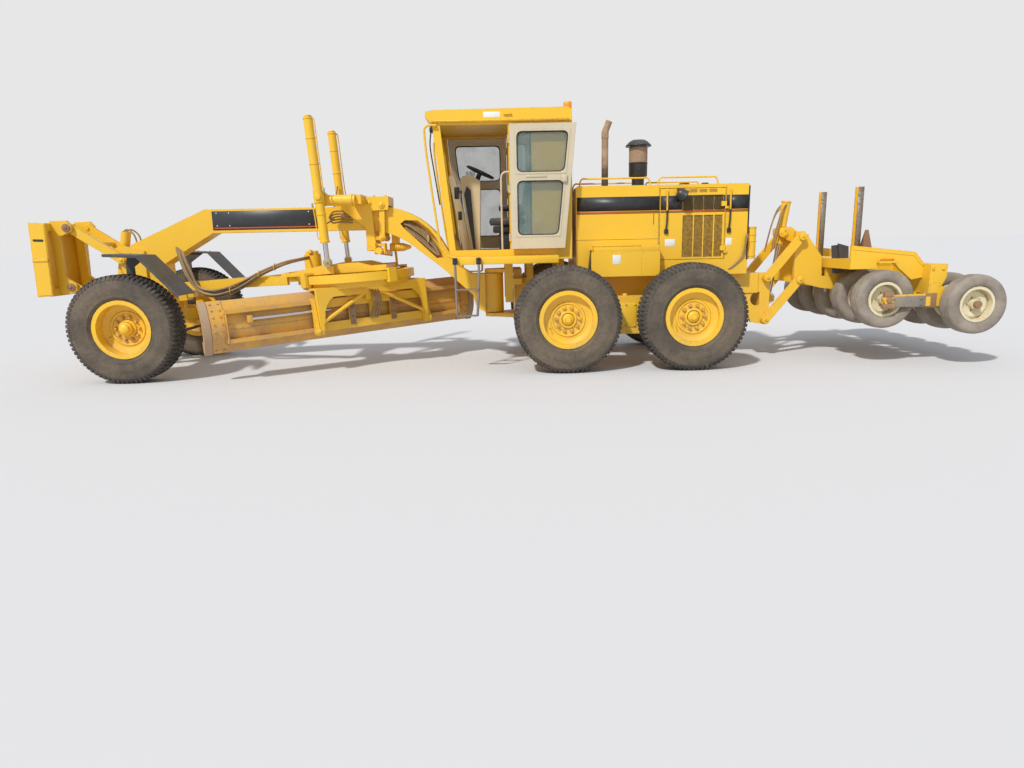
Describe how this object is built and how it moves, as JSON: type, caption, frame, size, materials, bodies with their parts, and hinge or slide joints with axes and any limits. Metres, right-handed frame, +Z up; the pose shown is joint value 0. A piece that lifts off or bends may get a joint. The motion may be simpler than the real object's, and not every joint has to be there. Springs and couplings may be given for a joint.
{
  "type": "motor grader",
  "caption": "Yellow articulated motor grader with a gooseneck frame, turning blade, cab with open door, front lift arms and a rear roller on rubber tyres.",
  "frame": {"origin": "on the ground under the middle of the machine's length", "axes": "+X forward along the machine, +Y to its left, +Z up"},
  "size_m": [11.902, 2.8133, 3.243],
  "materials": {
    "paint_yellow": "satin",
    "blade_yellow": "satin",
    "door_grey": "satin",
    "fender_black": "matte",
    "paint_black": "satin",
    "paint_cream": "satin",
    "engine_grey": "matte",
    "exhaust_steel": "matte",
    "chrome_rod": "polished",
    "cab_glass": "gloss",
    "seat_cloth": "matte",
    "console_plastic": "matte",
    "tyre_rubber": "matte"
  },
  "bodies": {
    "machine": {"rear_frame": "paint_yellow", "tandems": "paint_yellow", "engine": "engine_grey", "hood": "paint_yellow", "exhaust": "exhaust_steel", "air_intake": "paint_black", "cab_frame": "paint_yellow", "cab_roof": "paint_yellow", "cab_windows": "cab_glass", "operator_seat": "seat_cloth", "console": "console_plastic", "platforms": "paint_black"},
    "tandem_wheel_front_left": {"tyre_tandem_front_left": "tyre_rubber", "rim_tandem_front_left": "paint_yellow"},
    "tandem_wheel_front_right": {"tyre_tandem_front_right": "tyre_rubber", "rim_tandem_front_right": "paint_yellow"},
    "tandem_wheel_rear_left": {"tyre_tandem_rear_left": "tyre_rubber", "rim_tandem_rear_left": "paint_yellow"},
    "tandem_wheel_rear_right": {"tyre_tandem_rear_right": "tyre_rubber", "rim_tandem_rear_right": "paint_yellow"},
    "door_left": {"cab_door_left": "door_grey"},
    "door_right": {"cab_door_right": "door_grey"},
    "engine_door_l": {"engine_door_left": "paint_yellow"},
    "engine_door_r": {"engine_door_right": "paint_yellow"},
    "rear_upper": {"rear_upper_links": "paint_yellow"},
    "rear_lower": {"rear_lower_links": "paint_yellow"},
    "carrier": {"tool_carrier": "paint_yellow", "roller_frame": "paint_yellow"},
    "rear_barrel": {"rear_lift_barrel": "paint_yellow"},
    "rear_rod": {"rear_lift_rod": "chrome_rod"},
    "roller_row_front": {"roller_front_tyres": "tyre_rubber", "roller_front_rims": "paint_cream"},
    "roller_row_rear": {"roller_rear_tyres": "tyre_rubber", "roller_rear_rims": "paint_cream"},
    "front": {"front_frame": "paint_yellow", "lift_saddle": "paint_yellow", "front_axle": "paint_yellow"},
    "steer_left": {"knuckle_left": "paint_yellow", "fender_left": "fender_black"},
    "steer_right": {"knuckle_right": "paint_yellow", "fender_right": "fender_black"},
    "track_rod": {"tie_rod": "paint_black"},
    "wheel_front_left": {"tyre_front_left": "tyre_rubber", "rim_front_left": "paint_yellow"},
    "wheel_front_right": {"tyre_front_right": "tyre_rubber", "rim_front_right": "paint_yellow"},
    "draw": {"drawbar": "paint_yellow"},
    "turntable": {"blade_circle": "paint_yellow"},
    "blade_tilt": {"blade_carrier": "paint_yellow"},
    "mouldboard": {"blade": "blade_yellow"},
    "lift_barrel_pair": {"lift_barrels": "paint_yellow"},
    "lift_rod_pair": {"lift_rods": "chrome_rod"},
    "side_barrel": {"shift_barrel": "paint_yellow"},
    "side_rod": {"shift_rod": "chrome_rod"},
    "front_upper": {"front_upper_arms": "paint_yellow"},
    "front_lower": {"front_lower_arms": "paint_yellow"},
    "hitch": {"hitch_frame": "paint_yellow"},
    "front_barrel": {"front_lift_barrel": "paint_yellow"},
    "front_rod": {"front_lift_rod": "chrome_rod"}
  },
  "joints": [
    {"name": "articulation", "type": "hinge", "parent": "machine", "child": "front", "pos_m": [0.11, 0, 0.9], "axis": [0, 0, -1], "range_deg": [-20, 20]},
    {"name": "tandem_front_left_spin", "type": "hinge", "parent": "machine", "child": "tandem_wheel_front_left", "pos_m": [-0.7645, 1.052, 0.65], "axis": [0, 1, 0], "continuous": true},
    {"name": "tandem_front_right_spin", "type": "hinge", "parent": "machine", "child": "tandem_wheel_front_right", "pos_m": [-0.7645, -1.052, 0.65], "axis": [0, 1, 0], "continuous": true},
    {"name": "tandem_rear_left_spin", "type": "hinge", "parent": "machine", "child": "tandem_wheel_rear_left", "pos_m": [-2.2875, 1.052, 0.65], "axis": [0, 1, 0], "continuous": true},
    {"name": "tandem_rear_right_spin", "type": "hinge", "parent": "machine", "child": "tandem_wheel_rear_right", "pos_m": [-2.2875, -1.052, 0.65], "axis": [0, 1, 0], "continuous": true},
    {"name": "cab_door_left_hinge", "type": "hinge", "parent": "machine", "child": "door_left", "pos_m": [-0.095, 0.642, 2.2], "axis": [0, 0, -1], "range_deg": [0, 180]},
    {"name": "cab_door_right_hinge", "type": "hinge", "parent": "machine", "child": "door_right", "pos_m": [-0.095, -0.642, 2.2], "axis": [0, 0, -1], "range_deg": [0, 175]},
    {"name": "engine_door_left_hinge", "type": "hinge", "parent": "machine", "child": "engine_door_l", "pos_m": [-2.825, 0.513, 1.76], "axis": [0, 0, 1], "range_deg": [0, 110]},
    {"name": "engine_door_right_hinge", "type": "hinge", "parent": "machine", "child": "engine_door_r", "pos_m": [-2.825, -0.513, 1.76], "axis": [0, 0, -1], "range_deg": [0, 110]},
    {"name": "rear_lift", "type": "hinge", "parent": "machine", "child": "rear_upper", "pos_m": [-3.444, 0, 1.052], "axis": [0, -1, 0], "range_deg": [-5, 39]},
    {"name": "rear_lower_link", "type": "hinge", "parent": "machine", "child": "rear_lower", "pos_m": [-3.444, 0, 0.502], "axis": [0, -1, 0], "range_deg": [-5.5, 39.5]},
    {"name": "rear_carrier_level", "type": "hinge", "parent": "rear_upper", "child": "carrier", "pos_m": [-3.869, 0, 1.574], "axis": [0, -1, 0], "range_deg": [-39.5, 5.5]},
    {"name": "rear_cylinder_swing", "type": "hinge", "parent": "carrier", "child": "rear_barrel", "pos_m": [-3.74, 0, 1.623], "axis": [0, -1, 0], "range_deg": [-4.08, 28.42]},
    {"name": "rear_cylinder_stroke", "type": "slide", "parent": "rear_barrel", "child": "rear_rod", "axis": [0.1377, 0, -0.9905], "range_m": [-0.2802, 0.0446]},
    {"name": "roller_front_spin", "type": "hinge", "parent": "carrier", "child": "roller_row_front", "pos_m": [-4.63, 0, 0.806], "axis": [0, 1, 0], "continuous": true},
    {"name": "roller_rear_spin", "type": "hinge", "parent": "carrier", "child": "roller_row_rear", "pos_m": [-5.592, 0, 0.747], "axis": [0, 1, 0], "continuous": true},
    {"name": "steer_left_pin", "type": "hinge", "parent": "front", "child": "steer_left", "pos_m": [4.56, 0.76, 0.65], "axis": [0, 0, 1], "range_deg": [-50, 50]},
    {"name": "steer_right_pin", "type": "hinge", "parent": "front", "child": "steer_right", "pos_m": [4.56, -0.76, 0.65], "axis": [0, 0, 1], "range_deg": [-50.5, 50.5]},
    {"name": "tie_rod_pin", "type": "hinge", "parent": "steer_left", "child": "track_rod", "pos_m": [4.37, 0.76, 0.488], "axis": [0, 0, 1], "range_deg": [-50.5, 50.5]},
    {"name": "front_left_spin", "type": "hinge", "parent": "steer_left", "child": "wheel_front_left", "pos_m": [4.56, 1.052, 0.65], "axis": [0, 1, 0], "continuous": true},
    {"name": "front_right_spin", "type": "hinge", "parent": "steer_right", "child": "wheel_front_right", "pos_m": [4.56, -1.052, 0.65], "axis": [0, 1, 0], "continuous": true},
    {"name": "blade_lift", "type": "hinge", "parent": "front", "child": "draw", "pos_m": [4.33, 0, 0.98], "axis": [0, 1, 0], "range_deg": [-24.5, 2]},
    {"name": "circle_turn", "type": "hinge", "parent": "draw", "child": "turntable", "pos_m": [1.96744, 0, 1.18393], "axis": [0.0523, 0, 0.9986], "range_deg": [-1, 96]},
    {"name": "blade_pitch", "type": "hinge", "parent": "turntable", "child": "blade_tilt", "pos_m": [1.67543, 0.39862, 0.55835], "axis": [0.8375, 0.5446, -0.0439], "range_deg": [0, 40]},
    {"name": "blade_side_shift", "type": "slide", "parent": "blade_tilt", "child": "mouldboard", "axis": [0.8375, 0.5446, -0.0439], "range_m": [-0.2, 0.4]},
    {"name": "lift_cylinder_swing", "type": "hinge", "parent": "front", "child": "lift_barrel_pair", "pos_m": [2.25, 0, 2.17], "axis": [0, 1, 0], "range_deg": [-2.49, 0.66]},
    {"name": "lift_cylinder_stroke", "type": "slide", "parent": "lift_barrel_pair", "child": "lift_rod_pair", "axis": [-0.0656, 0, -0.9978], "range_m": [-0.0853, 0.9322]},
    {"name": "shift_cylinder_swing", "type": "hinge", "parent": "front", "child": "side_barrel", "pos_m": [1.57, 0.4, 1.5], "axis": [0.9999, -0.0101, 0], "range_deg": [-5, 55.65]},
    {"name": "shift_cylinder_stroke", "type": "slide", "parent": "side_barrel", "child": "side_rod", "axis": [-0.0101, -0.9987, -0.0504], "range_m": [-0.0546, 0.5568]},
    {"name": "front_lift", "type": "hinge", "parent": "front", "child": "front_upper", "pos_m": [4.94, 0, 1.45], "axis": [0, 1, 0], "range_deg": [-3, 50]},
    {"name": "front_lower_arm", "type": "hinge", "parent": "front", "child": "front_lower", "pos_m": [4.979, 0, 0.698], "axis": [0, 1, 0], "range_deg": [-3.5, 50.5]},
    {"name": "hitch_level", "type": "hinge", "parent": "front_upper", "child": "hitch", "pos_m": [5.571, 0, 1.871], "axis": [0, 1, 0], "range_deg": [-50.5, 3.5]},
    {"name": "front_cylinder_swing", "type": "hinge", "parent": "front", "child": "front_barrel", "pos_m": [5.015, 0, 1.56], "axis": [0, 1, 0], "range_deg": [-0.85, 0.52]},
    {"name": "front_cylinder_stroke", "type": "slide", "parent": "front_barrel", "child": "front_rod", "axis": [0.204, 0, -0.979], "range_m": [-0.0215, 0.2019]}
  ],
  "couplings": [
    {"joint": "rear_lower_link", "follows": "rear_lift", "ratio": 1},
    {"joint": "rear_carrier_level", "follows": "rear_lift", "ratio": -1},
    {"joint": "rear_cylinder_swing", "follows": "rear_lift", "ratio": 0.71593},
    {"joint": "rear_cylinder_stroke", "follows": "rear_lift", "m_per_rad": -0.39693},
    {"joint": "steer_right_pin", "follows": "steer_left_pin", "ratio": 1},
    {"joint": "tie_rod_pin", "follows": "steer_left_pin", "ratio": -1},
    {"joint": "lift_cylinder_swing", "follows": "blade_lift", "ratio": 0.08112},
    {"joint": "lift_cylinder_stroke", "follows": "blade_lift", "m_per_rad": -2.1568},
    {"joint": "shift_cylinder_swing", "follows": "blade_lift", "ratio": -2.2509},
    {"joint": "shift_cylinder_stroke", "follows": "blade_lift", "m_per_rad": -1.2787},
    {"joint": "front_lower_arm", "follows": "front_lift", "ratio": 1},
    {"joint": "hitch_level", "follows": "front_lift", "ratio": -1},
    {"joint": "front_cylinder_swing", "follows": "front_lift", "ratio": -0.0071},
    {"joint": "front_cylinder_stroke", "follows": "front_lift", "m_per_rad": 0.21995}
  ]
}
